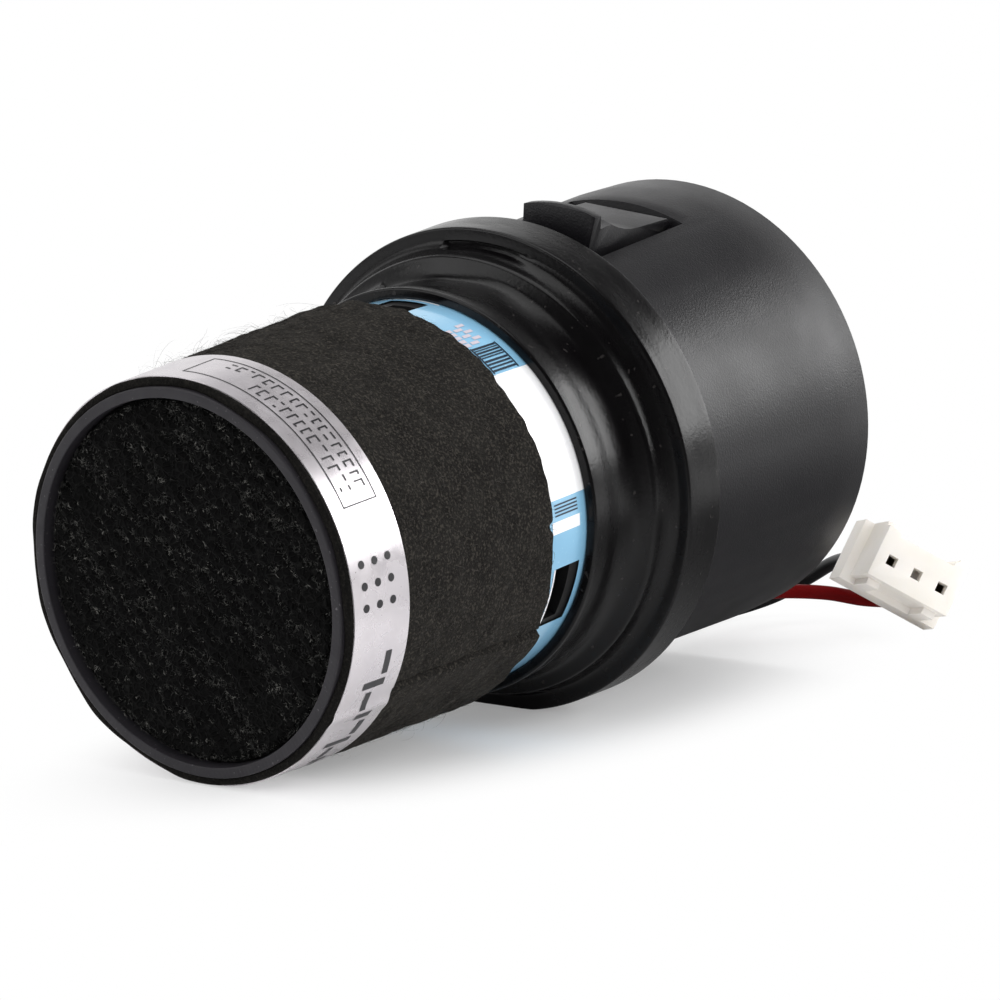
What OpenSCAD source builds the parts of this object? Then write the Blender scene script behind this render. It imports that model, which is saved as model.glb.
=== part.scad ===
// Moving-coil microphone capsule in its rubber mount and snap-in cup, with a two-wire lead.
// Every piece is drawn along the capsule's own axis, which runs from the rear rim of the cup (0)
// to the front, and is then laid down as it rests: on the front edge and on the mount's flange.

/* [Cup] */
// Length of the parallel spigot at the rear
spigot_len = 4.5; // [4:0.1:7]
// How much wider the rear is than the front
cup_flare = 1.05; // [0.4:0.05:1.4]
// Wall at the rear rim
cup_wall = 1.5; // [1.2:0.1:2]
// Wall at the front, inside the mount's groove
cup_front_wall = 1.2; // [1:0.1:1.6]
// Whole length, with the part that the groove hides
cup_len = 25.8; // [25:0.1:30]
// Depth of the ledge below the front edge, which carries the mount's skirt
cup_ledge_depth = 5.2; // [4.6:0.1:6]
// Width of the ledge
cup_ledge_w = 0.5; // [0.3:0.05:0.7]
// Bevel on the rear rim
rim_bevel = 0.2; // [0.1:0.05:0.4]

/* [Snap latch] */
// Turn of the latch from the top of the cup
latch_angle = 8; // [0:1:20]
// Width of the window in the cup
window_w = 10.7; // [10:0.1:12]
// Rear edge of the window above the rim
window_z = 9; // [8.6:0.1:11]
// Gap between the window's front edge and the mount
window_front_gap = 1.3; // [0.5:0.1:1.6]
// Slot between the arm and the window
latch_slot = 0.25; // [0.2:0.05:0.6]
// Thickness of the arm
arm_t = 1.0; // [0.8:0.05:1.2]
// Clear space in front of the arm, inside the window
arm_front_gap = 1.2; // [0.6:0.1:1.4]
// Length of the bare root of the arm, up to the catch
arm_root = 1.2; // [1:0.1:2]
// Height of the catch's flat back above the arm's skin
catch_over = 0.6; // [0.4:0.05:1]
// Height of the thumb lip above the catch's flat back
lip_over = 2.4; // [1.8:0.1:3]
// Thickness of the thumb lip along the axis
lip_t = 1.0; // [0.8:0.1:2]
// Width of the thumb lip
lip_w = 6.7; // [5:0.1:7.2]
// Radius of the lip's arched top
lip_arch_r = 12; // [8:0.5:16]
// Length of the hollow sweep behind the lip
lip_sweep = 5.4; // [4:0.1:6]
// Height of the near edge that the thumb facet leaves beside the sweep
facet_over = 0.9; // [0.6:0.05:1.6]

/* [Rubber mount] */
// Clear space between the barrel and the mount's skirt
skirt_gap = 0.5; // [0.3:0.05:0.8]
// Wall of the skirt that stands inside the cup
skirt_t = 0.9; // [0.8:0.05:1.2]
// How far the flange's rear edge stands out over the cup
flange_over = 1.85; // [1.2:0.05:2.4]
// How much narrower the flange is at its front edge
flange_draft = 0.3; // [0:0.05:0.6]
// Width of the flange's side
flange_side = 3.4; // [2.5:0.1:4]
// Depth of the groove that takes the cup
groove_depth = 2.3; // [2:0.1:3]
// Height of the collar's lip above the flange's rear face
collar_h = 11.0; // [10:0.1:12]
// Thickness of the collar's lip
collar_t = 0.75; // [0.6:0.05:0.9]
// Length of the collar on the barrel
collar_grip = 8.9; // [8:0.1:9.5]
// Radius of the ridge, from the barrel's skin
ridge_out = 2.4; // [2.2:0.05:2.5]
// Height of the ridge above the flange's rear face
ridge_h = 6.3; // [6:0.1:7]
// Angle of the moulded slot's start
slot_from = -5; // [-20:1:0]
// Angle that the moulded slot spans
slot_span = 25; // [10:1:40]

/* [Barrel] */
// Radius of the straight part
barrel_r = 14.85; // [14.6:0.05:15.2]
// How much narrower the barrel is at its front
barrel_draw = 0.9; // [0.6:0.05:1.1]
// Whole length
barrel_len = 37.4; // [35:0.1:40]
// How far the barrel reaches into the cup, from the cup's front edge
barrel_reach = 6.6; // [6:0.1:8]
// Wall round the front bore, which holds the motor
bore_wall = 0.85; // [0.7:0.05:1]
// Width of the seat between the front bore and the rear one
seat_w = 0.7; // [0.5:0.05:1]
// Depth of the front bore
motor_bore_depth = 12; // [11:0.1:13]
// Width of a side port
port_w = 4.4; // [3:0.1:5]
// Length of a side port
port_l = 2.5; // [1.5:0.1:2.7]
// Number of ports under the cloth
cloth_ports = 8; // [4:1:10]

/* [Front ring] */
// Height of the ring above the barrel
ring_h = 5.7; // [5:0.1:7]
// How far the ring stands out over the barrel
ring_over = 0.05; // [0:0.05:0.3]
// Wall round the mouth
ring_wall = 0.8; // [0.6:0.05:1.1]
// Bevel on the lip
lip_bevel = 0.15; // [0.1:0.05:0.3]
// Depth of the ledge under the mouth
mouth_depth = 4.5; // [4:0.1:4.8]
// Width of the ledge
ring_ledge = 1.0; // [0.8:0.1:1.4]
// Length of the spigot inside the barrel
ring_spigot = 2.4; // [2:0.1:2.6]

/* [Foam and grille] */
// Recess of the foam below the lip
foam_recess = 0.5; // [0.3:0.1:1]
// Thickness of the grille plate
grille_t = 0.6; // [0.4:0.1:0.8]
// Radius of a grille hole
grille_hole_r = 0.8; // [0.5:0.05:0.9]
// Distance between the rings of grille holes
grille_step = 3.3; // [3:0.1:3.6]

/* [Cloth and labels] */
// Length of the cloth wrap
cloth_len = 22.1; // [20:0.1:23]
// Set-back of the cloth behind the lip
cloth_inset = 0.3; // [0.1:0.05:0.6]
// Thickness at the rear edge
cloth_t = 0.9; // [0.6:0.05:1]
// Thickness at the front edge
cloth_front_t = 0.6; // [0.4:0.05:0.7]
// Angle of the lapped end
lap_angle = 120; // [90:1:150]
// Width of the lap
lap_span = 16; // [8:1:24]
// Thickness that the lap adds
lap_t = 0.3; // [0.1:0.05:0.4]
// Width of the silver band
silver_w = 5.6; // [4:0.1:6.5]
// Set-back of the silver band behind the lip
silver_inset = 0.6; // [0.4:0.1:1]
// Thickness of the silver band
silver_t = 0.1; // [0.06:0.01:0.2]
// Width of the blue band
blue_w = 8.2; // [7:0.1:9]
// Thickness of the blue band
blue_t = 0.13; // [0.08:0.01:0.14]
// Length of the blue band that the cloth covers
blue_under = 0.8; // [0.4:0.1:1.5]
// Height of a window in the blue band
blue_window_h = 3; // [2.6:0.1:3.4]
// Angle that a window spans
blue_window_span = 17; // [17:1:24]

/* [Motor] */
// Clear space round the diaphragm
film_gap = 0.1; // [0.05:0.05:0.3]
// Thickness of the coil's winding
coil_t = 0.3; // [0.2:0.02:0.36]
// Height of the coil
coil_h = 2.8; // [2.2:0.1:3]
// Height of the dome over the coil
dome_h = 1.8; // [1:0.1:2.2]
// Thickness of the film
film_t = 0.1; // [0.06:0.01:0.15]
// Height of a fold in the surround
fold_h = 0.22; // [0.1:0.02:0.3]
// Number of folds in the surround
folds = 3; // [2:1:5]
// Free gap on each side of the winding
air_gap = 0.25; // [0.15:0.01:0.35]
// Thickness of the pole plate
pole_t = 1.6; // [1.2:0.1:2]
// Height of the magnet
magnet_h = 3.6; // [3:0.1:4.4]
// How far the magnet stays inside the pole plate
magnet_inset = 0.6; // [0.4:0.05:1]
// Wall of the pot round the air gap
yoke_wall = 2.4; // [1.8:0.1:2.8]
// Room for the vents round the pot
vent_room = 2; // [1.7:0.1:2.4]
// Thickness of the yoke's floor
yoke_floor = 1.7; // [1.4:0.1:2]
// Number of vents through the carrier
vents = 8; // [6:1:10]
// Radius of a vent
vent_r = 0.7; // [0.5:0.05:0.8]

/* [Rear end] */
// Thickness of the rear cap's flange
cap_t = 1.2; // [1:0.1:1.6]
// Length of the rear cap's plug
cap_plug = 2.6; // [2:0.1:4]
// Clear space round the foam wad in the rear chamber
wad_gap = 0.2; // [0:0.1:1]
// Height of the foam wad
wad_h = 12; // [8:0.5:14]
// Width of the terminal board
board_w = 13; // [11:0.5:15]
// Height of the terminal board
board_h = 7; // [6:0.5:9]
// Thickness of the terminal board
board_t = 1.0; // [0.8:0.1:1.6]
// Distance between the two solder pads
pad_pitch = 6; // [5:0.5:7]
// Height of a solder bead
bead_h = 0.9; // [0.7:0.1:1.2]
// Radius of a solder bead
bead_r = 1.7; // [1.2:0.1:2]

/* [Lead and plug] */
// Outer diameter of one wire
wire_d = 1.3; // [1:0.1:1.6]
// Distance between the plug's ways
plug_pitch = 2.5; // [2.4:0.02:2.54]
// Width of the plug's nose
nose_w = 8.0; // [7.8:0.1:8.6]
// Height of the plug's nose
nose_h = 4.7; // [4.5:0.1:5]
// Width of the plug's rear
plug_w = 9.8; // [9.6:0.1:10.4]
// Height of the plug's rear
plug_h = 5.7; // [5.5:0.1:6.2]
// Length of the plug's nose
nose_len = 4.4; // [4:0.1:5]
// Length of the plug's rear
plug_rear = 2.6; // [2:0.1:3]
// Width of a square hole in the plug's face
way_hole = 0.9; // [0.7:0.05:1]
// Width of the room for a terminal
way_room = 1.9; // [1.7:0.05:1.95]

/* [Hidden] */
$fn = 96;
// Free fit between pieces that slip together
slip = 0.05;
// A cut runs this far past the solid that it opens
past = 0.5;

// The bores step inwards from the barrel's skin, and the motor fills them
barrel_front_r = barrel_r - barrel_draw;
motor_bore_r = barrel_front_r - bore_wall;
chamber_r = motor_bore_r - seat_w;
ring_r = barrel_front_r + ring_over;
mouth_r = ring_r - ring_wall;
throat_r = mouth_r - ring_ledge;
diaphragm_r = motor_bore_r - film_gap;
yoke_r = chamber_r - vent_room;
gap_r = yoke_r - yoke_wall;
coil_outer_r = gap_r - air_gap;
coil_inner_r = coil_outer_r - coil_t;
pole_r = coil_inner_r - air_gap;
magnet_r = pole_r - magnet_inset;
wad_r = chamber_r - wad_gap;

// The mount's skirt goes round the barrel, the cup round the skirt and the flange round the cup
skirt_r = barrel_r + skirt_gap + skirt_t;
cup_front_inner_r = skirt_r;
cup_front_r = cup_front_inner_r + cup_front_wall;
cup_r = cup_front_r + cup_flare;
cup_inner_r = cup_r - cup_wall;
groove_r = cup_front_r;
flange_r = cup_front_r + flange_over;
flange_front_r = flange_r - flange_draft;
ridge_r = barrel_r + ridge_out;

// Stations along the axis
flange_z = cup_len - groove_depth;
collar_z = flange_z + collar_h;
cup_ledge_z = cup_len - cup_ledge_depth;
barrel_z = cup_len - barrel_reach;
barrel_top = barrel_z + barrel_len;
lip_z = barrel_top + ring_h;
ledge_z = lip_z - mouth_depth;
cloth_top = lip_z - cloth_inset;
cloth_z = cloth_top - cloth_len;
straight_top = cloth_z + 1.7;
cloth_front_r = ring_r + cloth_front_t;
cloth_rear_r = barrel_r + cloth_t;
blue_top = cloth_z + blue_under;
blue_z = blue_top - blue_w;
seat_z = barrel_top - motor_bore_depth;
silver_top = lip_z - silver_inset;
silver_z = silver_top - silver_w;

// How the capsule lies: the front edge of the silver band and the flange touch the table
rest_tilt = atan2(flange_r - cloth_skin(silver_top) - silver_t, silver_top - flange_z);
rest_height = flange_r * cos(rest_tilt) + flange_z * sin(rest_tilt);
front_reach = lip_z * cos(rest_tilt) + (ring_r - lip_bevel) * sin(rest_tilt);
rear_reach = (cup_r - rim_bevel) * sin(rest_tilt);
rest_shift = (front_reach - rear_reach) / 2;

// Lays a piece down: the front points to -Y and the cup's top points up
module at_rest() {
    translate([0, rest_shift, rest_height])
        rotate([90 + rest_tilt, 0, 0])
            children();
}

// Turns a piece to an angle that is counted from the top towards the +X side
module at_angle(angle) {
    rotate([0, 0, -angle])
        children();
}

// A ring with straight walls
module tube(outer, inner, height) {
    difference() {
        cylinder(r = outer, h = height);
        translate([0, 0, -past])
            cylinder(r = inner, h = height + 2 * past);
    }
}

// A part of a turned profile, from one angle over a span
module sector(from, span) {
    rotate([0, 0, 90 - from - span])
        rotate_extrude(angle = span)
            children();
}

// Radius of the cloth's skin at a height
function cloth_skin(z) =
    cloth_rear_r + (cloth_front_r - cloth_rear_r) * (z - cloth_z) / cloth_len;

// Points of an arc in the plane
function arc(cx, cy, r, from, to, steps) =
    [for (i = [0:steps]) let (a = from + (to - from) * i / steps) [cx + r * cos(a), cy + r * sin(a)]];

// The cup is one moulding: shell, window and springy arm with its catch
window_top = flange_z - window_front_gap;
arm_side = window_w / 2 - latch_slot;
arm_top = window_top - arm_front_gap;
arm_inner_r = cup_front_inner_r + 3 * slip;
arm_r = arm_inner_r + arm_t;
catch_h = arm_r + catch_over;
lip_h = catch_h + lip_over;
lip_back = arm_top - lip_t;
catch_left = 3;

module cup_shell() {
    ledge_r = cup_front_inner_r - cup_ledge_w;
    rotate_extrude()
        polygon([
            [cup_inner_r, 0], [cup_r - rim_bevel, 0], [cup_r, rim_bevel], [cup_r, spigot_len],
            [cup_front_r, flange_z], [cup_front_r, cup_len], [cup_front_inner_r, cup_len],
            [cup_front_inner_r, cup_ledge_z], [ledge_r, cup_ledge_z],
            [ledge_r, cup_ledge_z - 0.7], [ledge_r + 0.4, cup_ledge_z - 1.2]
        ]);
}

module latch_window() {
    translate([-window_w / 2, 0, window_z])
        cube([window_w, cup_r + 5, window_top - window_z]);
}

module latch_arm() {
    arm_len = arm_top - window_z + past;
    intersection() {
        translate([0, 0, window_z - past])
            tube(arm_r, arm_inner_r, arm_len);
        translate([-arm_side, 0, window_z - past])
            cube([2 * arm_side, cup_r + 5, arm_len]);
    }
}

// Side view of the catch: a steep rear, a flat back, a hollow sweep and the thumb lip
module catch_outline() {
    rear_z = window_z + arm_root;
    rise = lip_over - 0.5;
    polygon(concat(
        [[arm_inner_r - 2.5, rear_z - 0.5], [arm_r, rear_z - 0.5], [catch_h - 0.2, rear_z],
         [catch_h, rear_z + 0.25]],
        [for (i = [0:6]) [catch_h + rise * pow(i / 6, 2), lip_back - lip_sweep * (1 - i / 6)]],
        [[lip_h, lip_back + 0.25], [lip_h, arm_top - 0.2], [lip_h - 0.2, arm_top],
         [arm_inner_r - 2.5, arm_top]]
    ));
}

// The facet slopes off the near side of the sweep and stops at the lip
module thumb_facet() {
    translate([arm_side, catch_h + facet_over, window_z])
        rotate([0, 0, -40])
            translate([-5, 0, 0])
                cube([10, 5, lip_back + 0.2 - window_z]);
}

module latch_catch() {
    lip_left = arm_side - lip_w;
    difference() {
        union() {
            intersection() {
                translate([lip_left, 0, 0])
                    rotate([90, 0, 90])
                        linear_extrude(lip_w)
                            catch_outline();
                translate([lip_left + lip_w / 2, lip_h - lip_arch_r, 0])
                    cylinder(r = lip_arch_r, h = cup_len);
            }
            translate([-catch_left, 0, 0])
                rotate([90, 0, 90])
                    linear_extrude(arm_side + catch_left)
                        intersection() {
                            catch_outline();
                            square([catch_h, cup_len]);
                        }
        }
        thumb_facet();
        translate([0, 0, -past])
            cylinder(r = arm_inner_r, h = cup_len + 2 * past);
    }
}

module rear_cup() {
    color("#2c2b2e")
        at_rest() {
            difference() {
                cup_shell();
                at_angle(latch_angle)
                    latch_window();
            }
            at_angle(latch_angle) {
                latch_arm();
                latch_catch();
            }
        }
}

// The mount: a collar that grips the barrel, a ridge, a skirt in the cup and a flange outside
collar_over_r = barrel_r + blue_t;
collar_bottom = collar_z - collar_grip;
web_z = flange_z + ridge_h - 1.2;
flange_round = 0.75;

module mount_profile() {
    flange_top = flange_z + flange_side + 0.45;
    polygon(concat(
        [[barrel_r, collar_bottom], [barrel_r, blue_z], [collar_over_r, blue_z],
         [collar_over_r, collar_z - 0.2], [collar_over_r + 0.15, collar_z]],
        arc(collar_over_r + collar_t - 0.25, collar_z - 0.3, 0.3, 100, 20, 4),
        [[collar_over_r + collar_t, collar_z - 1.1], [collar_over_r + collar_t + 0.1, web_z + 1.4]],
        [[ridge_r - 0.95, web_z + 0.9], [ridge_r - 0.5, web_z + 0.9]],
        arc(ridge_r, flange_z + ridge_h - 0.4, 0.4, 150, 30, 5),
        [[ridge_r + 0.62, web_z - 0.3], [ridge_r + 0.8, flange_top + 0.5]],
        arc(flange_front_r - flange_round, flange_top, flange_round, 100, 8, 6),
        [[flange_r, flange_z], [groove_r, flange_z], [groove_r, cup_len],
         [skirt_r, cup_len], [skirt_r, cup_ledge_z], [skirt_r - skirt_t, cup_ledge_z],
         [skirt_r - skirt_t, collar_bottom]]
    ));
}

// A notch in the skirt leaves the latch room to bend inwards
module latch_relief() {
    sector(latch_angle - 20, 40)
        translate([skirt_r - skirt_t - past, cup_ledge_z - past])
            square([skirt_t + 2 * past, arm_top - cup_ledge_z + 0.3 + past]);
}

module shock_mount() {
    slot_z = flange_z + flange_side + 0.35;
    color("#1b1b1d")
        at_rest() {
            difference() {
                rotate_extrude()
                    mount_profile();
                sector(slot_from, slot_span)
                    translate([ridge_r + 0.75, slot_z])
                        square([0.45, 3]);
                latch_relief();
            }
            sector(-25, 11)
                translate([collar_over_r + collar_t, web_z])
                    square([1.2, 1.5]);
        }
}

// The barrel: straight at the rear, slightly drawn in under the cloth, with ports round it
window_z_mid = cloth_z - 2.1;
port_angles = [8.5, 112.5, 240];

module side_port(angle, z) {
    at_angle(angle)
        translate([-port_w / 2, chamber_r - 1, z - port_l / 2])
            cube([port_w, barrel_r - chamber_r + 2, port_l]);
}

module barrel() {
    color("#1e1e20")
        at_rest()
            difference() {
                rotate_extrude()
                    polygon([
                        [chamber_r, barrel_z], [barrel_r - 0.3, barrel_z], [barrel_r, barrel_z + 0.3],
                        [barrel_r, straight_top], [barrel_front_r, barrel_top],
                        [motor_bore_r, barrel_top], [motor_bore_r, seat_z], [chamber_r, seat_z]
                    ]);
                for (angle = port_angles)
                    side_port(angle, window_z_mid);
                for (i = [0:cloth_ports - 1])
                    side_port(360 * (i + 0.5) / cloth_ports, seat_z - 1.6 - port_l / 2 + 0.9);
            }
}

// Rear end: a cap that plugs the barrel, the board on it, two solder beads and a foam wad
module rear_cap() {
    color("#242426")
        at_rest()
            difference() {
                union() {
                    translate([0, 0, barrel_z - cap_t])
                        cylinder(r = barrel_r - 0.3, h = cap_t);
                    translate([0, 0, barrel_z])
                        cylinder(r = chamber_r - slip, h = cap_plug);
                }
                translate([0, 0, barrel_z + 0.6])
                    cylinder(r = chamber_r - 1.5, h = cap_plug);
                translate([0, board_h / 2 + 3, barrel_z - cap_t - past])
                    cylinder(r = 0.6, h = cap_t + 1 + 2 * past);
            }
}

board_z = barrel_z - cap_t - board_t;

module terminal_board() {
    corner = 1;
    color("#7a5c2e")
        at_rest()
            translate([0, 0, board_z])
                linear_extrude(board_t)
                    polygon([
                        [-board_w / 2 + corner, -board_h / 2], [board_w / 2 - corner, -board_h / 2],
                        [board_w / 2, -board_h / 2 + corner], [board_w / 2, board_h / 2 - corner],
                        [board_w / 2 - corner, board_h / 2], [-board_w / 2 + corner, board_h / 2],
                        [-board_w / 2, board_h / 2 - corner], [-board_w / 2, -board_h / 2 + corner]
                    ]);
}

module solder_beads() {
    color("#c9cbcd")
        at_rest()
            for (side = [-1, 1])
                translate([side * pad_pitch / 2, 0, board_z - bead_h])
                    rotate_extrude()
                        polygon([
                            [0, 0], [0.4 * bead_r, 0], [0.6 * bead_r, 0.25 * bead_h],
                            [0.8 * bead_r, 0.75 * bead_h], [bead_r, bead_h], [0, bead_h]
                        ]);
}

module chamber_wad() {
    color("#4a4a4c")
        at_rest()
            translate([0, 0, barrel_z + cap_plug])
                cylinder(r = wad_r, h = wad_h);
}

// Motor: the carrier holds the pot, and the film is clamped between carrier and ring
carrier_top = barrel_top - ring_spigot - film_t - 1.2;
carrier_r = motor_bore_r - slip;
film_z = carrier_top;
pot_top = film_z - 0.9;
pot_z = pot_top - pole_t - magnet_h - yoke_floor;

module motor_carrier() {
    vent_ring_r = (yoke_r + chamber_r) / 2 + 0.1;
    color("#3a3a3d")
        at_rest()
            difference() {
                rotate_extrude()
                    polygon([
                        [yoke_r - 1.2, seat_z], [carrier_r, seat_z], [carrier_r, carrier_top],
                        [carrier_r - 1.3, carrier_top], [carrier_r - 1.3, pot_top - 1.2],
                        [yoke_r + slip, pot_top - 1.2], [yoke_r + slip, pot_z],
                        [yoke_r - 1.2, pot_z]
                    ]);
                for (i = [0:vents - 1])
                    rotate([0, 0, 360 * i / vents])
                        translate([vent_ring_r, 0, seat_z - past])
                            cylinder(r = vent_r, h = 12, $fn = 24);
            }
}

module vent_cloth() {
    color("#d8d4c8")
        at_rest()
            translate([0, 0, pot_top - 1.2])
                tube(carrier_r - 1.3 - slip, yoke_r + slip, 0.4);
}

module yoke() {
    color("#b9bcc0")
        at_rest()
            rotate_extrude()
                polygon([
                    [0, pot_z], [yoke_r - 0.3, pot_z], [yoke_r, pot_z + 0.3], [yoke_r, pot_top],
                    [gap_r, pot_top], [gap_r, pot_top - pole_t], [gap_r + 0.5, pot_top - pole_t - 0.5],
                    [gap_r + 0.5, pot_z + yoke_floor], [0, pot_z + yoke_floor]
                ]);
}

module magnet() {
    color("#8e9196")
        at_rest()
            translate([0, 0, pot_z + yoke_floor])
                cylinder(r = magnet_r, h = magnet_h);
}

module pole_plate() {
    color("#c4c7ca")
        at_rest()
            rotate_extrude()
                polygon([
                    [0, pot_top - pole_t], [pole_r, pot_top - pole_t], [pole_r, pot_top - 0.2],
                    [pole_r - 0.2, pot_top], [0, pot_top]
                ]);
}

module voice_coil() {
    color("#b8703a")
        at_rest()
            translate([0, 0, film_z - coil_h])
                tube(coil_outer_r, coil_inner_r, coil_h);
}

// Height of the film over its clamped rim: a dome inside the coil, folds outside it
rim_flat = 1.1;
function film_rise(r) =
    r <= coil_inner_r ? dome_h * (1 - pow(r / coil_inner_r, 2))
    : r <= coil_outer_r || r >= diaphragm_r - rim_flat ? 0
    : fold_h * (1 - cos(360 * folds * (r - coil_outer_r) / (diaphragm_r - rim_flat - coil_outer_r)));

function film_stops() = concat(
    [for (i = [0:9]) coil_inner_r * i / 9], [coil_outer_r],
    [for (i = [1:8 * folds]) coil_outer_r + (diaphragm_r - rim_flat - coil_outer_r) * i / (8 * folds)],
    [diaphragm_r]
);

module diaphragm() {
    stops = film_stops();
    last = len(stops) - 1;
    color("#c9c3ae")
        at_rest()
            rotate_extrude()
                polygon(concat(
                    [for (i = [0:last]) [stops[i], film_z + film_rise(stops[i])]],
                    [for (i = [last:-1:0]) [stops[i], film_z + film_rise(stops[i]) + film_t]]
                ));
}

module diaphragm_ring() {
    color("#a9acb0")
        at_rest()
            translate([0, 0, film_z + film_t])
                tube(diaphragm_r, diaphragm_r - rim_flat, barrel_top - ring_spigot - film_z - film_t);
}

// Front: ring, pierced plate and foam disc
grille_r = mouth_r - slip;

module front_ring() {
    color("#4b494d")
        at_rest()
            rotate_extrude()
                polygon([
                    [throat_r, barrel_top - ring_spigot], [motor_bore_r - slip, barrel_top - ring_spigot],
                    [motor_bore_r - slip, barrel_top], [ring_r, barrel_top],
                    [ring_r, lip_z - lip_bevel], [ring_r - lip_bevel, lip_z],
                    [mouth_r + 0.1, lip_z], [mouth_r, lip_z - 0.1], [mouth_r, ledge_z],
                    [throat_r, ledge_z]
                ]);
}

module grille_plate() {
    color("#8d9094")
        at_rest()
            translate([0, 0, ledge_z])
                difference() {
                    cylinder(r = grille_r, h = grille_t);
                    translate([0, 0, -past])
                        cylinder(r = grille_hole_r, h = grille_t + 2 * past, $fn = 24);
                    for (ring = [1:3], i = [0:6 * ring - 1])
                        rotate([0, 0, 60 * i / ring])
                            translate([grille_step * ring, 0, -past])
                                cylinder(r = grille_hole_r, h = grille_t + 2 * past, $fn = 24);
                }
}

module foam_disc() {
    color("#161617")
        at_rest()
            translate([0, 0, ledge_z + grille_t])
                cylinder(r = grille_r, h = lip_z - foam_recess - ledge_z - grille_t);
}

// Cloth wrap with its lapped end, and the two printed bands
module felt_wrap() {
    color("#1f1d1d")
        at_rest() {
            rotate_extrude()
                polygon([
                    [barrel_r + blue_t, cloth_z], [cloth_rear_r, cloth_z],
                    [cloth_front_r, cloth_top], [ring_r, cloth_top], [ring_r, barrel_top],
                    [barrel_front_r, barrel_top], [barrel_r, straight_top],
                    [barrel_r, blue_top], [barrel_r + blue_t, blue_top]
                ]);
            sector(lap_angle, lap_span)
                polygon([
                    [cloth_rear_r - 0.2, cloth_z], [cloth_rear_r + lap_t, cloth_z],
                    [cloth_skin(silver_z) + lap_t, silver_z], [cloth_skin(silver_z) - 0.2, silver_z]
                ]);
        }
}

module silver_band() {
    color("#d9dbe0")
        at_rest()
            rotate_extrude()
                polygon([
                    [cloth_skin(silver_z), silver_z],
                    [cloth_skin(silver_z) + silver_t, silver_z],
                    [cloth_skin(silver_top) + silver_t, silver_top],
                    [cloth_skin(silver_top), silver_top]
                ]);
}

module blue_band() {
    color("#7fb8da")
        at_rest()
            difference() {
                translate([0, 0, blue_z])
                    tube(barrel_r + blue_t, barrel_r, blue_w);
                for (angle = port_angles)
                    sector(angle - blue_window_span / 2, blue_window_span)
                        translate([barrel_r - 1, window_z_mid - blue_window_h / 2])
                            square([3, blue_window_h]);
            }
}

// Plug: its own frame has +Z out of the mating face and +X along the row of ways
plug_turn = [76.7, 29.4, 43.7];
plug_at = [13.2, 48.1, 6.0];
plug_len = nose_len + plug_rear;
crimp_z = -6.4;
wire_stop_z = -4.9;

module at_plug() {
    translate(plug_at)
        rotate(plug_turn)
            children();
}

module plug_way(x) {
    translate([x - way_hole / 2, -way_hole / 2, -2])
        cube([way_hole, way_hole, 2 + past]);
    translate([x - way_room / 2, -way_room / 2, -plug_len - past])
        cube([way_room, way_room, plug_len + past - 0.9]);
}

module plug_housing() {
    foot_y = 0.3 - plug_h / 2;
    color("#efeae2")
        at_plug()
            difference() {
                union() {
                    translate([-nose_w / 2, 0.4 - nose_h / 2, -nose_len])
                        cube([nose_w, nose_h, nose_len]);
                    translate([-plug_w / 2, foot_y, -plug_len])
                        cube([plug_w, plug_h, plug_rear]);
                    for (side = [-1, 1])
                        translate([side * (nose_w / 2 - 1.2) - 0.6, foot_y, -plug_len])
                            cube([1.2, 2, plug_len - 1.2]);
                    for (side = [-1, 1])
                        translate([side * (nose_w / 2 - 0.35) - 0.35, 0.4, -plug_len])
                            cube([0.7, nose_h / 2 + 0.45, plug_len - 0.8]);
                }
                for (way = [-1:1])
                    plug_way(way * plug_pitch);
                translate([-nose_w / 2 + 1.3, 0.4 + nose_h / 2 - 0.5, -nose_len + 0.6])
                    cube([nose_w - 2.6, 1, nose_len]);
                for (way = [-1:1])
                    translate([way * plug_pitch - 0.6, 1.2, -plug_len + 1])
                        cube([1.2, 4, 1.8]);
            }
}

module plug_terminals() {
    body_w = way_room - 2 * slip;
    color("#c9a25c")
        at_plug()
            for (side = [-1, 1])
                translate([side * plug_pitch, 0, 0]) {
                    difference() {
                        translate([-body_w / 2, -body_w / 2, -4.4])
                            cube([body_w, body_w, 3.4]);
                        translate([-body_w / 2 + 0.25, -body_w / 2 + 0.25, -4.4 - past])
                            cube([body_w - 0.5, body_w - 0.5, 3.4 + 2 * past]);
                    }
                    difference() {
                        translate([0, 0, crimp_z])
                            cylinder(r = body_w / 2, h = -4.3 - crimp_z);
                        translate([0, 0, crimp_z - past])
                            cylinder(r = wire_d / 2 + slip, h = wire_stop_z - crimp_z + past);
                    }
                }
}

// Wires: each runs from its solder bead out of the cup, over the table and into the plug.
// The round points are chosen by hand, and the two ends follow the bead and the plug.
red_points = [
    [3.1, 19.3, 19.5], [2.9, 22.2, 17.7], [2.6, 24.8, 15.0], [2.1, 27.1, 12.1], [1.4, 29.9, 9.4],
    [0.5, 33.0, 7.7], [-0.3, 35.4, 6.6], [-1.1, 37.6, 5.7], [-1.9, 39.8, 4.8], [-2.6, 42.2, 4.0],
    [-2.9, 45.2, 3.4], [-2.3, 48.3, 3.0], [-1.0, 51.1, 2.8], [1.2, 53.6, 2.5], [3.9, 55.2, 2.0],
    [6.7, 55.5, 2.2]
];
black_points = [
    [-3.0, 19.3, 19.2], [-3.4, 22.0, 17.2], [-3.8, 24.4, 14.4], [-4.3, 26.8, 11.5],
    [-5.0, 29.6, 9.3], [-5.5, 32.7, 8.1], [-5.7, 35.0, 7.3], [-5.9, 37.1, 6.1], [-6.2, 39.3, 4.3],
    [-6.6, 41.6, 2.6], [-6.9, 44.6, 1.2], [-6.7, 48.0, 0.8], [-5.7, 51.1, 1.1],
    [-3.9, 53.5, 2.0], [-1.5, 54.8, 3.6], [1.1, 54.3, 5.1], [3.5, 53.0, 5.8]
];
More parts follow.
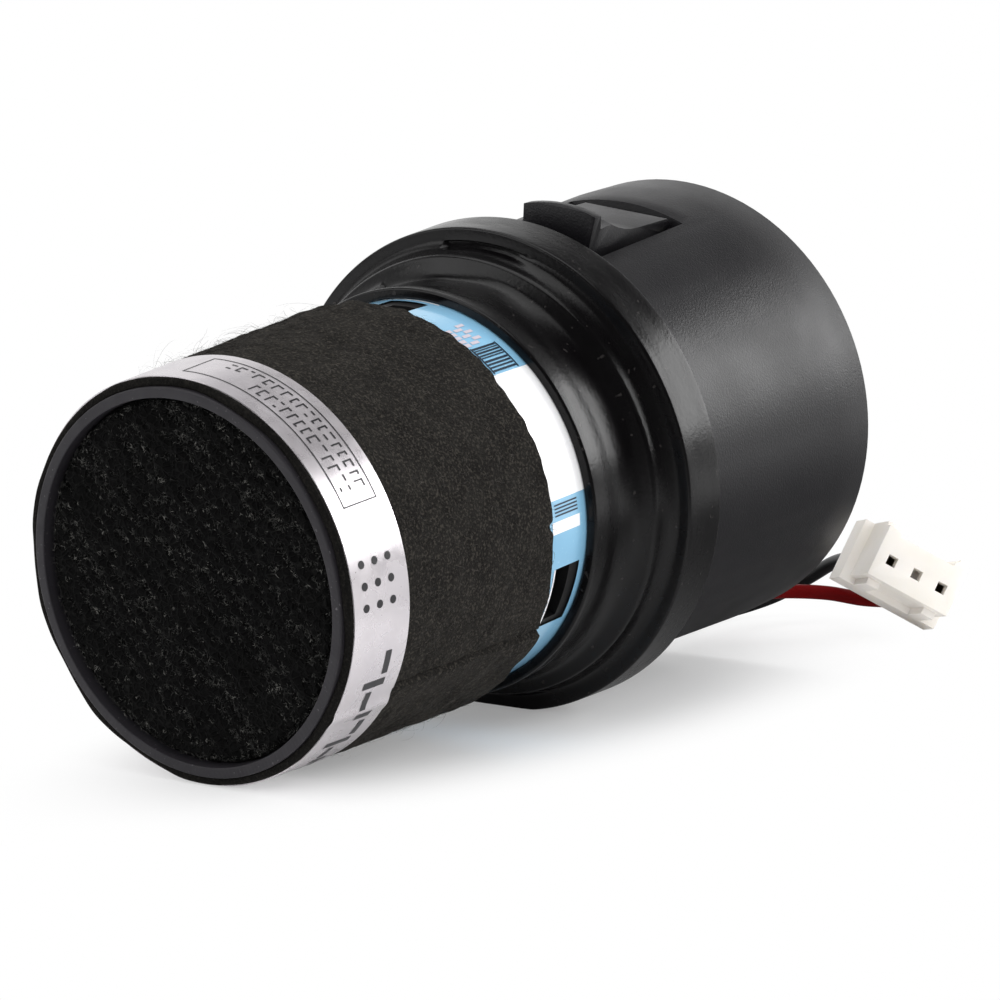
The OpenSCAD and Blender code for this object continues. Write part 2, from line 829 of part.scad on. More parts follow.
// A point of the capsule's frame, where it lies
function laid(p) = [
    p[0],
    rest_shift - p[1] * sin(rest_tilt) - p[2] * cos(rest_tilt),
    rest_height + p[1] * cos(rest_tilt) - p[2] * sin(rest_tilt)
];
// A point on the middle line of one of the plug's ways
function turned_x(v, a) = [v[0], v[1] * cos(a) - v[2] * sin(a), v[1] * sin(a) + v[2] * cos(a)];
function turned_y(v, a) = [v[0] * cos(a) + v[2] * sin(a), v[1], v[2] * cos(a) - v[0] * sin(a)];
function turned_z(v, a) = [v[0] * cos(a) - v[1] * sin(a), v[0] * sin(a) + v[1] * cos(a), v[2]];
function way_point(x, z) =
    plug_at + turned_z(turned_y(turned_x([x, 0, z], plug_turn[0]), plug_turn[1]), plug_turn[2]);
function bead_point(x, back) = laid([x, 0, board_z - bead_h - back]);
function whole_route(side, points) = concat(
    [for (back = [0, 1.2, 3]) bead_point(side * pad_pitch / 2, back)],
    points,
    [for (z = [-plug_len - 1.6, -plug_len + 0.2, wire_stop_z]) way_point(side * plug_pitch, z)]
);
red_route = whole_route(1, red_points);
black_route = whole_route(-1, black_points);
wire_sides = 8;

function unit(v) = v / norm(v);
function route_dir(route, i) =
    unit(route[min(i + 1, len(route) - 1)] - route[max(i - 1, 0)]);
function ring_points(route, i) =
    let (
        along = route_dir(route, i),
        across = unit(cross(along, [0, 0, 1])),
        over = cross(across, along)
    )
    [for (k = [0:wire_sides - 1])
        let (a = 360 * (k + 0.5) / wire_sides)
        route[i] + wire_d / 2 * (across * cos(a) + over * sin(a))];

module wire(route) {
    n = wire_sides;
    rings = len(route);
    polyhedron(
        points = [for (i = [0:rings - 1]) each ring_points(route, i)],
        faces = concat(
            [[for (k = [0:n - 1]) k]],
            [for (i = [0:rings - 2], k = [0:n - 1])
                let (j = (k + 1) % n)
                [i * n + k, (i + 1) * n + k, (i + 1) * n + j, i * n + j]],
            [[for (k = [n - 1:-1:0]) (rings - 1) * n + k]]
        )
    );
}

module red_wire() {
    color("#b3161c")
        wire(red_route);
}

module black_wire() {
    color("#19191a")
        wire(black_route);
}

rear_cup();
shock_mount();
barrel();
rear_cap();
terminal_board();
solder_beads();
chamber_wad();
motor_carrier();
vent_cloth();
yoke();
magnet();
pole_plate();
voice_coil();
diaphragm();
diaphragm_ring();
grille_plate();
front_ring();
foam_disc();
felt_wrap();
silver_band();
blue_band();
red_wire();
black_wire();
plug_housing();
plug_terminals();
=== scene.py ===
import math

import bmesh
import bpy
import numpy as np
from mathutils import Matrix, Vector


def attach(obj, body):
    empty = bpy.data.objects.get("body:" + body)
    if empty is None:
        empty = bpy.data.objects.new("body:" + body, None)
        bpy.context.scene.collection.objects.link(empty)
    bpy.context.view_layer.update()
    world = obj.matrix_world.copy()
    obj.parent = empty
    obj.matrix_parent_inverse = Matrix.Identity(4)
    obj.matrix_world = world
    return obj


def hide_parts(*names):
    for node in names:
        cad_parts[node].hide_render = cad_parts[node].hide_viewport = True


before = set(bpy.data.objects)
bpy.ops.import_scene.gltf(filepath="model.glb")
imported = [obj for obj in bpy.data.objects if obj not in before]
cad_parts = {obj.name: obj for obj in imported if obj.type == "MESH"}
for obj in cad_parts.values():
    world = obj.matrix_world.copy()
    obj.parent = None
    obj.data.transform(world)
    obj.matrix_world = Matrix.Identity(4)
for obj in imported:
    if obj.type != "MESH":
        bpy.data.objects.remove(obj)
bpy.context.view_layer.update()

rng = np.random.default_rng(11)
MM = 0.001

# Sizes that the CAD source has too, in millimetres: _R is a radius, _T a thickness, and _Z a
# height along the capsule's axis, from the cup's rear rim towards the front
CUP_R, RIM_ROUND = 18.5, 0.2
FLANGE_R, FLANGE_Z = 19.3, 23.5
RING_R, MOUTH_R, LIP_ROUND, LIP_Z = 14.0, 13.2, 0.15, 62.3
CLOTH_REAR_R, CLOTH_FRONT_R, CLOTH_Z, CLOTH_TOP = 15.75, 14.6, 39.9, 62.0
SILVER_Z, SILVER_TOP, SILVER_T = 56.1, 61.7, 0.1
BEAD_X, BEAD_Z = 3, 16.1
WIRE_D, WAY_PITCH = 1.28, 2.5
PLUG_TURN, PLUG_AT = (76.7, 29.4, 43.7), (13.2, 48.1, 6.0)


def felt_skin(z):
    """The felt's outer radius, which narrows to the front."""
    return CLOTH_REAR_R + (CLOTH_FRONT_R - CLOTH_REAR_R) * (z - CLOTH_Z) / (CLOTH_TOP - CLOTH_Z)


# The capsule lies on its flange and on the front edge of its silver band
TILT = math.atan2(FLANGE_R - felt_skin(SILVER_TOP) - SILVER_T, SILVER_TOP - FLANGE_Z)
HEIGHT = FLANGE_R * math.cos(TILT) + FLANGE_Z * math.sin(TILT)
LOW_ENDS = (RING_R - LIP_ROUND) - (CUP_R - RIM_ROUND)
SHIFT = (LIP_Z * math.cos(TILT) + LOW_ENDS * math.sin(TILT)) / 2


def laid(p):
    """Points of the capsule's frame, in millimetres, where they lie, in metres."""
    p = np.asarray(p, float)
    c, s = math.cos(TILT), math.sin(TILT)
    y = SHIFT - p[..., 1] * s - p[..., 2] * c
    z = HEIGHT + p[..., 1] * c - p[..., 2] * s
    return np.stack([p[..., 0], y, z], -1) * MM


def unlaid(p):
    """The way back from laid."""
    c, s = math.cos(TILT), math.sin(TILT)
    a, b = SHIFT - p[..., 1] / MM, p[..., 2] / MM - HEIGHT
    return np.stack([p[..., 0] / MM, a * s + b * c, a * c - b * s], -1)


def polar(r, turn, z):
    """Capsule points at a radius, an angle in degrees from the top towards +X, and a height."""
    r, turn, z = np.broadcast_arrays(r, np.radians(turn), z)
    return np.stack([r * np.sin(turn), r * np.cos(turn), z], -1)


# Camera, in the place that a pinhole fit of the photograph's circles gives
CAMERA_AT, CAMERA_AIM = Vector((0.155816, -0.205075, 0.05255)), Vector((0.002761, 0.002057, 0.016907))
CAMERA_ROLL = math.radians(-0.257)
camera = bpy.data.objects.new("camera", bpy.data.cameras.new("camera"))
bpy.context.scene.collection.objects.link(camera)
camera.data.sensor_width = 36
camera.data.lens = 122.4
camera.data.clip_start = 0.01
camera.location = CAMERA_AT
turned = (CAMERA_AIM - CAMERA_AT).to_track_quat("-Z", "Y").to_matrix() @ Matrix.Rotation(CAMERA_ROLL, 3, "Z")
camera.rotation_euler = turned.to_euler()
bpy.context.scene.camera = camera


# Material tools
GRAINS = 1000  # a noise or cell texture's scale for grains of 1 mm
WAVES = 100 * math.pi  # a wave texture's scale for lines 1 mm apart


def linear(code):
    """A colour written as six hexadecimal digits of sRGB, in linear light."""
    parts = [int(code[i:i + 2], 16) / 255 for i in (0, 2, 4)]
    return [x / 12.92 if x <= 0.04045 else ((x + 0.055) / 1.055) ** 2.4 for x in parts] + [1]


def fill_in(sockets, inputs):
    """Sets or links sockets by name, with _ for a space, or by number, as in i0."""
    for key, value in inputs.items():
        numbered = key[0] == "i" and key[1:].isdigit()
        socket = sockets[int(key[1:]) if numbered else key.replace("_", " ")]
        if isinstance(value, bpy.types.Node):
            value = next(out for out in value.outputs if out.enabled)
        if isinstance(value, bpy.types.NodeSocket):
            socket.id_data.links.new(value, socket)
        else:
            socket.default_value = value


def add(tree, kind, props=None, **inputs):
    """Adds a shader node with its settings, and links or sets its inputs."""
    node = tree.nodes.new("ShaderNode" + kind)
    for key, value in (props or {}).items():
        setattr(node, key, value)
    fill_in(node.inputs, inputs)
    return node


class Look:
    """A principled material that is built up in steps, with patterns in object space."""

    def __init__(self, name, color, rough, **more):
        self.mat = bpy.data.materials.new(name)
        self.mat.use_nodes = True
        self.tree = self.mat.node_tree
        self.shader = self.tree.nodes["Principled BSDF"]
        self.place = add(self.tree, "TexCoord").outputs["Object"]
        self.set(Base_Color=linear(color), Roughness=rough, **more)

    def set(self, **inputs):
        fill_in(self.shader.inputs, inputs)

    def texture(self, kind, size, props=None, stretch=None, **inputs):
        """A texture whose grains are about size millimetres across, or lines size apart."""
        place = self.place
        if stretch:
            place = add(self.tree, "Mapping", Vector=place, Rotation=(TILT, 0, 0), Scale=stretch)
        scale = (WAVES if kind == "TexWave" else GRAINS) / size
        return add(self.tree, kind, props, Vector=place, Scale=scale, **inputs)

    def tint(self, fac, low, high, share, color, rest=0.0):
        """Mixes a colour over what is there: rest of it where fac is low, share of it where high."""
        base = self.shader.inputs["Base Color"]
        under = base.links[0].from_socket if base.is_linked else base.default_value[:]
        reach = {"From_Min": low, "From_Max": high, "To_Min": rest, "To_Max": share}
        amount = add(self.tree, "MapRange", Value=fac, **reach)
        mixed = add(self.tree, "Mix", {"data_type": "RGBA"}, i0=amount, i6=under, i7=linear(color))
        self.set(Base_Color=mixed)

    def roughness(self, fac, a, b):
        """Takes the roughness from a to b over the middle of fac."""
        level = add(self.tree, "MapRange", Value=fac, From_Min=0.35, From_Max=0.65, To_Min=a, To_Max=b)
        self.set(Roughness=level)

    def relief(self, height, depth, strength=1.0):
        """Raises the surface by up to depth millimetres, over the relief that is there."""
        normal = self.shader.inputs["Normal"]
        under = {"Normal": normal.links[0].from_socket} if normal.is_linked else {}
        bump = add(self.tree, "Bump", Height=height, Distance=depth * MM, Strength=strength, **under)
        self.set(Normal=bump)


def plain(name, color, patch_color, rough, grain=0.3, depth=0.01, **more):
    """A simple finish: fine grains in relief, and broad soft patches in colour and gloss."""
    look = Look(name, color, rough, **more)
    patches = look.texture("TexNoise", grain * 14)
    look.roughness(patches, rough * 0.85, min(1, rough * 1.15))
    look.tint(patches, 0.4, 0.75, 0.5, patch_color)
    look.relief(look.texture("TexNoise", grain, Detail=3), depth)
    return look


# Mesh tools
MERGE = 1e-7
ABOVE_FLOOR = 1e-5
FLAT, CORNER, CRISP = 0.8, 30, 32  # degrees between two faces
TURN_PER_MM = math.degrees(1 / 15)  # along the middle of the cloth


def on_body(mesh, look, sharp):
    """Makes a mesh a piece of the body. Edges past sharp degrees stay crisp."""
    mesh.polygons.foreach_set("use_smooth", [True] * len(mesh.polygons))
    if sharp:
        mesh.set_sharp_from_angle(angle=math.radians(sharp))
    mesh.materials.append(look.mat)
    ob = bpy.data.objects.new(mesh.name, mesh)
    bpy.context.scene.collection.objects.link(ob)
    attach(ob, "root")
    return ob


def moved(bm, name, place):
    """The bmesh as a mesh. place takes the flat points' x and y, and gives capsule points."""
    mesh = bpy.data.meshes.new(name)
    bm.to_mesh(mesh)
    flat = np.empty(len(mesh.vertices) * 3, np.float32)
    mesh.vertices.foreach_get("co", flat)
    points = laid(place(*flat.reshape(-1, 3)[:, :2].T.astype(float)))
    points[:, 2] = np.maximum(points[:, 2], ABOVE_FLOOR)
    mesh.vertices.foreach_set("co", points.ravel())
    return mesh


def from_grid(name, columns, rows, place, look, cut=None, sharp=35, merge=True):
    """A piece that is rolled or folded from a flat grid of faces.

    place takes each point's column and row and gives its capsule point, in millimetres. cut
    takes each face's column and row and says whether it goes.
    """
    bm = bmesh.new()
    bmesh.ops.create_grid(bm, x_segments=columns, y_segments=rows, size=0.5)
    if cut:
        middles = np.array([face.calc_center_median()[:2] for face in bm.faces]) + 0.5
        gone = cut(*np.floor(middles * (columns, rows)).astype(int).T)
        bmesh.ops.delete(bm, geom=[face for face, out in zip(bm.faces, gone) if out], context="FACES")

    def at_cell(x, y):
        column, row = np.rint((x + 0.5) * columns), np.rint((y + 0.5) * rows)
        return place(column.astype(int), row.astype(int))

    mesh = moved(bm, name, at_cell)
    if merge:
        bm.clear()
        bm.from_mesh(mesh)
        bmesh.ops.remove_doubles(bm, verts=bm.verts, dist=MERGE)
        bmesh.ops.recalc_face_normals(bm, faces=bm.faces)
        bm.to_mesh(mesh)
    bm.free()
    return on_body(mesh, look, sharp)


def lathe(name, outline, look, steps=288, warp=None, sharp=35, closed=True, cut=None):
    """Turns an outline of (r, z) round the axis. warp changes r, turn and z.

    An outline that isn't closed starts and ends on the axis, or leaves the piece open.
    """
    outline = np.asarray(outline, float)

    def place(column, row):
        r, z = outline[row % len(outline)].T
        turn = column % steps * (360 / steps)
        if warp:
            r, turn, z = warp(r, turn, z)
        return polar(r, turn, z)

    sides = len(outline) if closed else len(outline) - 1
    return from_grid(name, steps, sides, place, look, cut, sharp)


def rounded(outline, n=4):
    """An outline of (r, z) or (r, z, corner radius), with its corners rounded."""
    out = []
    pts = [(p[0], p[1], p[2] if len(p) > 2 else 0) for p in outline]
    for i, (x, y, rad) in enumerate(pts):
        if not rad:
            out.append((x, y))
            continue
        here = np.array([x, y])
        before = np.array(pts[i - 1][:2]) - here
        after = np.array(pts[(i + 1) % len(pts)][:2]) - here
        a = here + before / np.linalg.norm(before) * min(rad, np.linalg.norm(before) * 0.48)
        b = here + after / np.linalg.norm(after) * min(rad, np.linalg.norm(after) * 0.48)
        for t in np.linspace(0, 1, n + 1):
            out.append(tuple((1 - t) ** 2 * a + 2 * t * (1 - t) * here + t * t * b))
    return np.array(out)


def split(outline, step, closed=True):
    """Adds points so that no side is longer than step."""
    out = []
    for a, b in zip(outline, np.roll(outline, -1, 0) if closed else outline[1:]):
        n = max(1, int(np.ceil(np.linalg.norm(b - a) / step)))
        out += [a + (b - a) * k / n for k in range(n)]
    return np.array(out if closed else out + [outline[-1]])


def wave(turn, seed, orders, power=1.0):
    """A smooth random wave round the turn, about from -1 to 1."""
    source = np.random.default_rng(seed)
    total = 0
    for k in orders:
        height = source.normal() / k ** power
        total = total + height * np.sin(np.radians(turn * k) + source.uniform(0, 6.28))
    return total


def field(points, seed, size):
    """Smooth random lumps in space, about from -1 to 1 and size across."""
    source = np.random.default_rng(seed)
    total = 0
    for _ in range(6):
        direction = source.normal(size=3)
        direction /= np.linalg.norm(direction) * size / 6.28
        total = total + np.sin(points @ direction + source.uniform(0, 6.28))
    return total / 3


def soft(x, a, b):
    """0 before a, 1 after b, and smooth between them."""
    t = np.clip((x - a) / (b - a), 0, 1)
    return t * t * (3 - 2 * t)


def between(x, a, b, c, d):
    """0 up to a, 1 from b to c, and 0 again from d on."""
    return soft(x, a, b) * (1 - soft(x, c, d))


def ribbons(name, paths, width, look):
    """Thin strands, one to a path: a long flat ribbon that is cut into strands that narrow."""
    count, n, _ = paths.shape
    side = np.cross(np.gradient(paths, axis=1), rng.normal(size=(count, 1, 3)))
    side /= np.linalg.norm(side, axis=2, keepdims=True) + 1e-9
    taper = (1 - 0.7 * np.linspace(0, 1, n))[None, :, None]
    half = side * taper * width.reshape(-1, 1, 1) / 2
    edges = np.stack([paths - half, paths + half]).reshape(2, -1, 3)
    return from_grid(name, 1, count * n - 1, lambda column, row: edges[column, row], look,
                     cut=lambda column, row: row % n == n - 1, sharp=None, merge=False)


def softened(node, name, look, width, segments=2, shape=None):
    """A copy of a CAD node with small rounds on its edges. shape moves its points first."""
    bm = bmesh.new()
    bm.from_mesh(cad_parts[node].data)
    bmesh.ops.remove_doubles(bm, verts=bm.verts, dist=1e-6)
    if shape:
        for vert, at in zip(bm.verts, shape(np.array([v.co[:] for v in bm.verts]))):
            vert.co = at
    bmesh.ops.dissolve_limit(bm, angle_limit=math.radians(FLAT), verts=bm.verts, edges=bm.edges)
    corners = [e for e in bm.edges if len(e.link_faces) == 2 and e.calc_face_angle(0) > math.radians(CORNER)]
    bmesh.ops.bevel(bm, geom=corners, offset=width * MM, segments=segments, profile=0.5, affect="EDGES",
                    clamp_overlap=True, material=-1)
    bmesh.ops.triangulate(bm, faces=[f for f in bm.faces if len(f.verts) > 4])
    bmesh.ops.recalc_face_normals(bm, faces=bm.faces)
    mesh = bpy.data.meshes.new(name)
    bm.to_mesh(mesh)
    bm.free()
    ob = on_body(mesh, look, CRISP)
    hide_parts(node)
    return ob


def marks(name, skin, look, bars=(), dots=(), warp=None, lift=0.02):
    """Printed fields that lie just above a band.

    A bar is (turn, turn, height, height), and a dot is (turn, height, radius).
    """
    bm = bmesh.new()
    for t0, t1, z0, z1 in bars:
        middle = Matrix.Translation(((t0 + t1) / 2, (z0 + z1) / 2, 0))
        extent = Matrix.Diagonal((t1 - t0, z1 - z0, 1, 1))
        steps = max(1, int(t1 - t0))
        bmesh.ops.create_grid(bm, x_segments=steps, y_segments=1, size=0.5, matrix=middle @ extent)
    for turn, z, rad in dots:
        middle = Matrix.Translation((turn, z, 0))
        extent = Matrix.Diagonal((TURN_PER_MM, 1, 1, 1))
        bmesh.ops.create_circle(bm, cap_ends=True, radius=rad, segments=20, matrix=middle @ extent)
    bmesh.ops.reverse_faces(bm, faces=bm.faces)

    def place(turn, z):
        r = skin(z)
        if warp:
            r, turn, z = warp(r, turn, z)
        return polar(r + lift, turn, z)

    mesh = moved(bm, name, place)
    bm.free()
    return on_body(mesh, look, None)


# Leads: the points that lie free are the CAD source's, in millimetres of the part's frame
RED = [
    (3.1, 19.3, 19.5), (2.9, 22.2, 17.7), (2.6, 24.8, 15.0), (2.1, 27.1, 12.1), (1.4, 29.9, 9.4),
    (0.5, 33.0, 7.7), (-0.3, 35.4, 6.6), (-1.1, 37.6, 5.7), (-1.9, 39.8, 4.8), (-2.6, 42.2, 4.0),
    (-2.9, 45.2, 3.4), (-2.3, 48.3, 3.0), (-1.0, 51.1, 2.8), (1.2, 53.6, 2.5), (3.9, 55.2, 2.0),
    (6.7, 55.5, 2.2),
]
BLACK = [
    (-3.0, 19.3, 19.2), (-3.4, 22.0, 17.2), (-3.8, 24.4, 14.4), (-4.3, 26.8, 11.5),
    (-5.0, 29.6, 9.3), (-5.5, 32.7, 8.1), (-5.7, 35.0, 7.3), (-5.9, 37.1, 6.1), (-6.2, 39.3, 4.3),
    (-6.6, 41.6, 2.6), (-6.9, 44.6, 1.2), (-6.7, 48.0, 0.8), (-5.7, 51.1, 1.1),
    (-3.9, 53.5, 2.0), (-1.5, 54.8, 3.6), (1.1, 54.3, 5.1), (3.5, 53.0, 5.8),
]
OUT_OF_BEAD = (0, 1.2, 3)
INTO_WAY = (-8.6, -6.8, -4.9)


def wire_route(side, points):
    """From a solder bead, over the free points, into a way of the plug, in metres."""
    turn = [math.radians(a) for a in PLUG_TURN]
    spin = Matrix.Rotation(turn[2], 3, "Z") @ Matrix.Rotation(turn[1], 3, "Y")
    spin = spin @ Matrix.Rotation(turn[0], 3, "X")
    start = [tuple(laid((side * BEAD_X, 0, BEAD_Z - back)) / MM) for back in OUT_OF_BEAD]
    end = [tuple(Vector(PLUG_AT) + spin @ Vector((side * WAY_PITCH, 0, z))) for z in INTO_WAY]
    return np.array(start + points + end) * MM


def smooth_route(points, n=6):
    """A smooth line through the points."""
    p = np.vstack([2 * points[0] - points[1], points, 2 * points[-1] - points[-2]])
    out = []
    for i in range(1, len(p) - 2):
        for t in np.arange(n) / n:
            out.append(0.5 * (2 * p[i] + (p[i + 1] - p[i - 1]) * t
                              + (2 * p[i - 1] - 5 * p[i] + 4 * p[i + 1] - p[i + 2]) * t ** 2
                              + (3 * p[i] - p[i - 1] - 3 * p[i + 1] + p[i + 2]) * t ** 3))
    return np.array(out + [points[-1]])


def wire(name, node, side, points, look):
    """A lead with its round insulation."""
    route = smooth_route(wire_route(side, points))
    curve = bpy.data.curves.new(name, "CURVE")
    curve.dimensions = "3D"
    spline = curve.splines.new("POLY")
    spline.points.add(len(route) - 1)
    for point, co in zip(spline.points, route):
        point.co = (*co, 1)
    curve.bevel_depth = WIRE_D / 2 * MM
    curve.bevel_resolution = 5
    curve.use_fill_caps = True
    curve.materials.append(look.mat)
    ob = bpy.data.objects.new(name, curve)
    bpy.context.scene.collection.objects.link(ob)
    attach(ob, "root")
    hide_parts(node)


# Extruded PVC: deep red, smooth and only faintly shiny
red_look = plain("red_pvc", "660305", "560203", 0.45, 0.5, 0.006, Specular_IOR_Level=0.08)
# Extruded PVC: black with a soft shine
black_look = plain("black_pvc", "101011", "161516", 0.4, 0.5, 0.006, Specular_IOR_Level=0.35)
# Moulded nylon: ivory, a little milky, so that its thin edges look soft
ivory = plain("ivory_nylon", "f6f1ea", "ebe5d9", 0.42, 0.25, 0.006,
              Subsurface_Weight=0.12, Subsurface_Scale=0.0012)
ivory.set(Subsurface_Radius=(1.0, 0.85, 0.6))
# Tinned phosphor bronze, stamped: warm grey metal
tin = plain("tinned_contact", "b9ae95", "a3977c", 0.32, 0.2, 0.004, Metallic=1.0)
plug = softened("plug_housing", "plug_shell", ivory, 0.16)
contacts = softened("plug_terminals", "plug_contacts", tin, 0.05, segments=1)
wire("red_lead", "red_wire", 1, RED, red_look)
wire("black_lead", "black_wire", -1, BLACK, black_look)

# Rear cup: moulded ABS with a fine spark-eroded grain, which spreads its highlights
cup_look = Look("cup_plastic", "121114", 0.4, Specular_IOR_Level=0.28)
cloud = cup_look.texture("TexNoise", 6, Detail=3)
cup_look.tint(cloud, 0.35, 0.7, 0.6, "19181a")
cup_look.tint(cup_look.texture("TexNoise", 0.35, Detail=1), 0.66, 0.74, 0.25, "2a282b")
cup_look.roughness(cloud, 0.34, 0.42)
cup_look.relief(cup_look.texture("TexNoise", 0.16, Roughness=0.6), 0.022)
# The catch in its own frame, which leans by CATCH_TURN to +X: its near side is at CATCH_SIDE across,
# and its foot ends at FOOT_H over the axis
CATCH_TURN, CATCH_SIDE, CATCH_REAR, CATCH_FRONT = math.radians(8), 5.1, 8.4, 21.1
FOOT_H, TOP_H = 17.1, 19


def catch_shape(p):
    """Draws the catch's near side in under its upper edge, and most at its foot."""
    q = unlaid(p)
    c, s = math.cos(CATCH_TURN), math.sin(CATCH_TURN)
    across, up, z = q[:, 0] * c - q[:, 1] * s, q[:, 0] * s + q[:, 1] * c, q[:, 2]
    near = (np.abs(across - CATCH_SIDE) < 0.1) & (z > CATCH_REAR) & (z < CATCH_FRONT) & (up < TOP_H)
    foot = np.where(z > CATCH_FRONT - 0.6, 0.8, 1.1)
    across = across - near * np.where(up < FOOT_H, foot, np.where(z < 19, 0.3, 0.0))
    return laid(np.stack([across * c + up * s, up * c - across * s, z], -1))


softened("rear_cup", "cup_shell", cup_look, 0.16, shape=catch_shape)

# Rubber mount: moulded black rubber, smooth, with faint flow marks and a few specks of dust
rubber = Look("mount_rubber", "060506", 0.25, Specular_IOR_Level=0.24)
flow = rubber.texture("TexNoise", 5, stretch=(1, 2.5, 1), Detail=3, Roughness=0.6)
rubber.tint(flow, 0.4, 0.75, 0.7, "0b0a0b")
rubber.tint(rubber.texture("TexNoise", 0.45, Detail=0.5), 0.74, 0.79, 0.4, "3c3938")
rubber.roughness(flow, 0.2, 0.3)
rubber.relief(rubber.texture("TexNoise", 0.3, Detail=3), 0.012)
rubber.relief(flow, 0.05, 0.5)
MOUNT = rounded([
    (14.85, 25.6), (14.85, 32.5), (14.98, 32.5), (14.98, 34.8), (15.1, 34.96, 0.08),
    (15.84, 34.92, 0.22), (15.8, 33.3, 0.3), (15.7, 31.7, 1.2), (16.1, 29.95, 0.8),
    (16.9, 29.5, 0.3), (17.28, 29.35, 0.35), (17.42, 28.3, 0.6), (17.85, 27.5, 0.45),
    (19.1, 27.38, 0.2), (FLANGE_R, FLANGE_Z, 0.1), (17.45, FLANGE_Z), (17.45, 25.8), (16.25, 25.8),
    (16.25, 20.6), (15.35, 20.6), (15.35, 25.6),
], 6)
SLOT_DEPTH, POCKET_DEPTH = 0.35, 0.4


def mount_warp(r, turn, z):
    """A slot in the flange's face, a pocket in the collar's foot, room for the latch, and soft waves."""
    signed = (turn + 180) % 360 - 180
    slot = between(signed, -6.0, -5.0, 14, 22) * between(r, 17.5, 17.62, 17.95, 18.2)
    z = z - SLOT_DEPTH * slot * soft(z, 26.6, 27.4)
    at_latch = (np.abs(signed - 8) < 20) & (r < 16.5) & (z < 21.3)
    z = np.where(at_latch, 21.3, z)
    outer = soft(r, 15.4, 15.6) * soft(z, 26.2, 26.8)
    pocket = between(signed, -23, -21.6, 2, 24) * between(z, 29.6, 30.3, 33.0, 33.9)
    r = r - outer * POCKET_DEPTH * pocket
    r = r + outer * 0.03 * wave(turn, 5, (3, 5, 8))
    z = z + outer * 0.05 * wave(turn, 6, (2, 3, 7))
    return r, turn, z


mount = lathe("mount_moulding", split(MOUNT, 0.35), rubber, 570, mount_warp)
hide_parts("shock_mount")

# Barrel: moulded ABS, black and dull, seen through the label's windows
barrel_look = plain("barrel_plastic", "0e0e0f", "161517", 0.45, Specular_IOR_Level=0.3)

# Front ring: turned plastic, satin, with faint tool lines and paler worn specks
ring_look = Look("ring_satin", "232125", 0.5, Specular_IOR_Level=0.3)
ring_look.tint(ring_look.texture("TexNoise", 2.5, Detail=3), 0.4, 0.7, 0.4, "29272b")
ring_look.tint(ring_look.texture("TexNoise", 0.22, Detail=1), 0.72, 0.78, 0.5, "6f6c70")
ring_look.roughness(ring_look.texture("TexNoise", 1.2, Detail=3), 0.44, 0.58)
tool_lines = ring_look.texture("TexWave", 0.35, {"wave_type": "RINGS", "rings_direction": "Y"},
                               Distortion=1.5, Detail=2)
ring_look.relief(tool_lines.outputs["Fac"], 0.004)
RING = rounded([
    (12.2, 54.2), (13.05, 54.2), (13.05, 56.6), (RING_R, 56.6), (RING_R, LIP_Z, 0.16),
    (MOUTH_R, LIP_Z, 0.12), (MOUTH_R, 57.8), (12.2, 57.8),
], 5)


def ring_warp(r, turn, z):
    """The lip isn't quite round."""
    return r + 0.012 * wave(turn, 3, (2, 3, 5)) * soft(z, 60.6, 62.1), turn, z


ring = lathe("front_ring_turned", split(RING, 0.8), ring_look, warp=ring_warp)
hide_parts("front_ring")

# Foam disc: open-cell polyurethane, black, with painted shade: its pits are painted darker than the paler
# cell walls
foam_look = Look("black_foam", "080808", 1.0, Specular_IOR_Level=0.1)
pits = foam_look.texture("TexVoronoi", 0.55, {"feature": "DISTANCE_TO_EDGE"})
# Painted shade: the pits darker than the paler cell walls round them
foam_look.tint(pits, 0.0, 0.1, 0.0, "1f1f1e", rest=0.6)
foam_look.tint(foam_look.texture("TexNoise", 3.5), 0.35, 0.7, 0, "050505", rest=0.5)
walls = add(foam_look.tree, "MapRange", Value=pits, From_Min=0, From_Max=0.25, To_Min=1, To_Max=0)
foam_look.relief(walls, 0.25)
FOAM_R, FOAM_BACK_Z, FOAM_Z, FACE_RINGS = 13.12, 58.4, 61.8, 110
FOAM = [(r, FOAM_Z) for r in np.linspace(0, FOAM_R, FACE_RINGS)]
FOAM += [(FOAM_R, FOAM_BACK_Z), (0, FOAM_BACK_Z)]


def foam_warp(r, turn, z):
    """Lumps on the face, which sinks at its edge."""
    spot = polar(r, turn, z)
    lift = 0.16 * field(spot, 21, 1.1) + 0.10 * field(spot, 22, 0.7) + 0.12 * field(spot, 23, 4.5)
    edge = soft(r, 12.4, FOAM_R)
    return r, turn, np.where(z > FOAM_BACK_Z, FOAM_Z - 0.12 + lift * (1 - edge) - 0.45 * edge, z)


foam = lathe("foam_face", FOAM, foam_look, 420, foam_warp, sharp=None, closed=False)
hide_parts("foam_disc")

# The foam's cut struts: the same plastic, painted grey in curls as painted glints, and paler in places as
# painted highlights
strut_glints = Look("foam_struts_painted_glints", "343432", 0.75, Specular_IOR_Level=0.25)
strut_glints.tint(strut_glints.texture("TexNoise", 1.1), 0.4, 0.6, 1, "1d1d1c")
# Painted highlights: paler curls among the grey ones
strut_glints.tint(strut_glints.texture("TexNoise", 0.5, Detail=1), 0.58, 0.7, 0.8, "6d6c68")
CURLS, CURL_POINTS, CURLS_R = 30000, 4, 12.95
start = polar(CURLS_R * np.sqrt(rng.uniform(0, 1, CURLS)), rng.uniform(0, 360, CURLS),
              FOAM_Z - 0.2 + rng.uniform(-0.12, 0.1, CURLS))
bearing = rng.uniform(0, 6.28, CURLS)
bend = rng.normal(0, 1.6, CURLS)
size = rng.uniform(0.18, 0.55, CURLS)
paths = [start]
for k in range(1, CURL_POINTS):
    heading = bearing + bend * k / CURL_POINTS
    step = np.stack([np.cos(heading), np.sin(heading), 0.25 * np.sin(k * 1.3 + bearing * 2)], -1)
    paths.append(paths[-1] + step * (size / CURL_POINTS)[:, None])
paths = np.stack(paths, 1)
